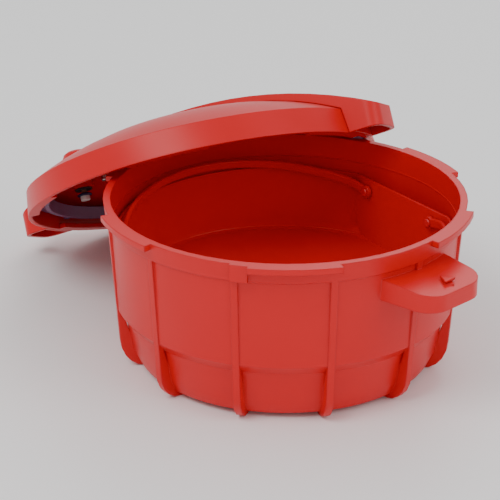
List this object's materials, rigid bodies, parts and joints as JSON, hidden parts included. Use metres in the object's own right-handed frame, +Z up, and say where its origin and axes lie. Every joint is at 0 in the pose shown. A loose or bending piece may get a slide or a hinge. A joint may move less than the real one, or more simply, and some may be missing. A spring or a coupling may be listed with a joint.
{
  "type": "microwave pressure cooker",
  "caption": "Round ribbed microwave cooking pot with a bayonet rim, a lift-out inner pan with folding bails, and a domed two-handled lid that leans on the pot.",
  "frame": {"origin": "on the pot's axis, at the flat pad under the pot, level with the feet of its ribs", "axes": "+Z up along the pot's axis; -Y towards the viewer of the front; the lid leans towards +Y and -X"},
  "size_m": [0.314, 0.3563, 0.1542],
  "materials": {
    "red_plastic": "semi-gloss moulded plastic",
    "rivet_plastic": "semi-gloss moulded plastic",
    "gasket_silicone": "smooth satin silicone",
    "dark_silicone": "smooth satin silicone",
    "dark_polymer": "fine matt moulded plastic",
    "valve_stem_polymer": "satin moulded plastic",
    "pale_polymer": "satin moulded plastic",
    "steel": "fine turned steel"
  },
  "bodies": {
    "pot": {"pot_body": "red_plastic"},
    "pan": {"inner_pan": "red_plastic", "bail_rivet_1": "rivet_plastic", "bail_rivet_2": "rivet_plastic", "bail_rivet_3": "rivet_plastic", "bail_rivet_4": "rivet_plastic"},
    "far_bail": {"far_bail": "red_plastic"},
    "near_bail": {"near_bail": "red_plastic"},
    "lid": {"lid_shell": "red_plastic", "handle_bridge": "red_plastic", "gasket": "gasket_silicone", "bridge_screw_1": "steel", "bridge_screw_2": "steel", "bridge_screw_3": "steel", "bridge_screw_4": "steel", "valve_sleeve": "dark_polymer", "safety_plug": "dark_silicone", "safety_pin": "pale_polymer"},
    "valve": {"valve_tip": "pale_polymer", "valve_stem": "valve_stem_polymer", "valve_seal": "dark_silicone", "valve_knob": "red_plastic", "valve_weight": "steel"}
  },
  "joints": [
    {"name": "lid_lift", "type": "slide", "parent": "pot", "child": "lid", "axis": [0, 0, 1], "range_m": [0, 0.42]},
    {"name": "pan_lift", "type": "slide", "parent": "pot", "child": "pan", "axis": [0, 0, 1], "range_m": [0, 0.16]},
    {"name": "far_bail_hinge", "type": "hinge", "parent": "pan", "child": "far_bail", "pos_m": [-0.01981, 0.02726, 0.08], "axis": [0.809, 0.5878, 0], "range_deg": [0, 75]},
    {"name": "near_bail_hinge", "type": "hinge", "parent": "pan", "child": "near_bail", "pos_m": [0.01981, -0.02726, 0.08], "axis": [-0.809, -0.5878, 0], "range_deg": [0, 75]},
    {"name": "valve_rise", "type": "slide", "parent": "lid", "child": "valve", "axis": [-0.2231, 0.5102, 0.8306], "range_m": [0, 0.0018]}
  ],
  "couplings": [
    {"joint": "pan_lift", "follows": "lid_lift", "ratio": 0.38094},
    {"joint": "far_bail_hinge", "follows": "lid_lift", "rad_per_m": 3.1166},
    {"joint": "near_bail_hinge", "follows": "lid_lift", "rad_per_m": 3.1166}
  ]
}
